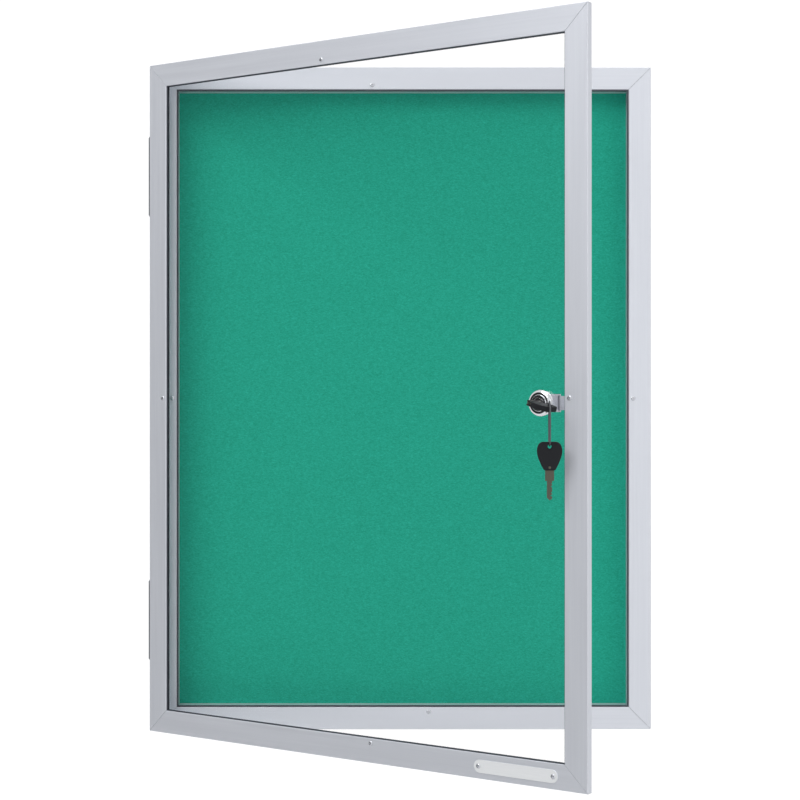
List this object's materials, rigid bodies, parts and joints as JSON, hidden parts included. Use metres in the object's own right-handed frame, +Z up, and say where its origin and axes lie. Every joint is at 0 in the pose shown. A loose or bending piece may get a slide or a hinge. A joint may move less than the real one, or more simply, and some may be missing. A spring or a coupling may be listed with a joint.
{
  "type": "lockable notice board",
  "caption": "Wall-hung notice board: mitred aluminium case with a green felt panel and a glazed, side-hinged door with a key lock, standing open.",
  "frame": {"origin": "centre of the case's back face, which lies on the wall", "axes": "+Z up, +X to the right as seen from the front, front towards -Y"},
  "size_m": [0.4621, 0.3081, 0.61],
  "materials": {
    "aluminium": "satin anodised",
    "casting": "as cast",
    "felt": "needle felt",
    "softboard": "raw fibreboard",
    "backing": "lacquered hardboard",
    "rubber": "extruded, matt",
    "clear": "clear",
    "steel": "plain",
    "zinc": "zinc plated",
    "bright": "bright zinc",
    "chrome": "polished",
    "plate": "satin, blank",
    "bow": "moulded, fine grain",
    "nickel": "dull nickel"
  },
  "bodies": {
    "case": {"back_panel": "backing", "case_corner_key_1": "casting", "case_corner_key_2": "casting", "case_corner_key_3": "casting", "case_corner_key_4": "casting", "case_hinge_leaf_lower": "steel", "case_hinge_leaf_upper": "steel", "case_hinge_rivet_lower_foot": "bright", "case_hinge_rivet_lower_top": "bright", "case_hinge_rivet_upper_foot": "bright", "case_hinge_rivet_upper_top": "bright", "case_rail_bottom": "aluminium", "case_rail_top": "aluminium", "case_rivet_rail_bottom": "bright", "case_rivet_rail_top": "bright", "case_rivet_stile_left": "bright", "case_rivet_stile_right": "bright", "case_seal": "rubber", "case_stile_left": "aluminium", "case_stile_right": "aluminium", "felt_facing": "felt", "hanger_plate_left": "steel", "hanger_plate_right": "steel", "hanger_screw_left": "bright", "hanger_screw_right": "bright", "hinge_pin_lower": "bright", "hinge_pin_upper": "bright", "softboard_core": "softboard"},
    "door": {"bolt_housing": "zinc", "clear_sheet": "clear", "door_corner_key_1": "casting", "door_corner_key_2": "casting", "door_corner_key_3": "casting", "door_corner_key_4": "casting", "door_hinge_leaf_lower": "steel", "door_hinge_leaf_upper": "steel", "door_hinge_rivet_lower_foot": "bright", "door_hinge_rivet_lower_top": "bright", "door_hinge_rivet_upper_foot": "bright", "door_hinge_rivet_upper_top": "bright", "door_rail_bottom": "aluminium", "door_rail_top": "aluminium", "door_rivet_rail_bottom": "bright", "door_rivet_rail_top": "bright", "door_rivet_stile_left": "bright", "door_rivet_stile_right": "bright", "door_stile_left": "aluminium", "door_stile_right": "aluminium", "glazing_gasket": "rubber", "lock_body": "chrome", "nameplate_blank": "plate", "nameplate_rivet_1": "bright", "nameplate_rivet_2": "bright"},
    "lock_plug": {"lock_plug": "chrome"},
    "lock_bolt": {"lock_bolt": "zinc"},
    "key_blade": {"key_blade": "nickel"},
    "key_bow": {"key_bow": "bow"},
    "key_loop": {"key_loop": "bright"},
    "spare_bow": {"spare_key_bow": "bow"},
    "spare_blade": {"spare_key_blade": "nickel"}
  },
  "joints": [
    {"name": "door_swing", "type": "hinge", "parent": "case", "child": "door", "pos_m": [-0.2309, -0.0306, 0], "axis": [0, 0, -1], "range_deg": [-35, 125]},
    {"name": "lock_turn", "type": "hinge", "parent": "door", "child": "lock_plug", "pos_m": [0.10723, -0.27542, -0.004], "axis": [0.5736, 0.8192, 0], "range_deg": [0, 90]},
    {"name": "bolt_slide", "type": "slide", "parent": "door", "child": "lock_bolt", "axis": [0.8192, -0.5736, 0], "range_m": [0, 0.00595]},
    {"name": "key_draw", "type": "slide", "parent": "lock_plug", "child": "key_blade", "axis": [-0.5736, -0.8192, 0], "range_m": [0, 0.018]},
    {"name": "key_fold", "type": "hinge", "parent": "key_blade", "child": "key_bow", "pos_m": [0.0992, -0.28689, -0.004], "axis": [-0.212, 0.1485, -0.9659], "range_deg": [0, 90]},
    {"name": "loop_swing", "type": "hinge", "parent": "key_bow", "child": "key_loop", "pos_m": [0.11202, -0.29586, -0.00819], "axis": [0, 1, 0], "range_deg": [-5, 30]},
    {"name": "spare_swing", "type": "hinge", "parent": "key_loop", "child": "spare_bow", "pos_m": [0.11202, -0.30166, -0.03679], "axis": [0, 1, 0], "range_deg": [-25, 40]},
    {"name": "spare_fold", "type": "hinge", "parent": "spare_bow", "child": "spare_blade", "pos_m": [0.11202, -0.30166, -0.05345], "axis": [0, 1, 0], "range_deg": [0, 90]}
  ],
  "couplings": [
    {"joint": "bolt_slide", "follows": "lock_turn", "m_per_rad": 0.0037813}
  ]
}
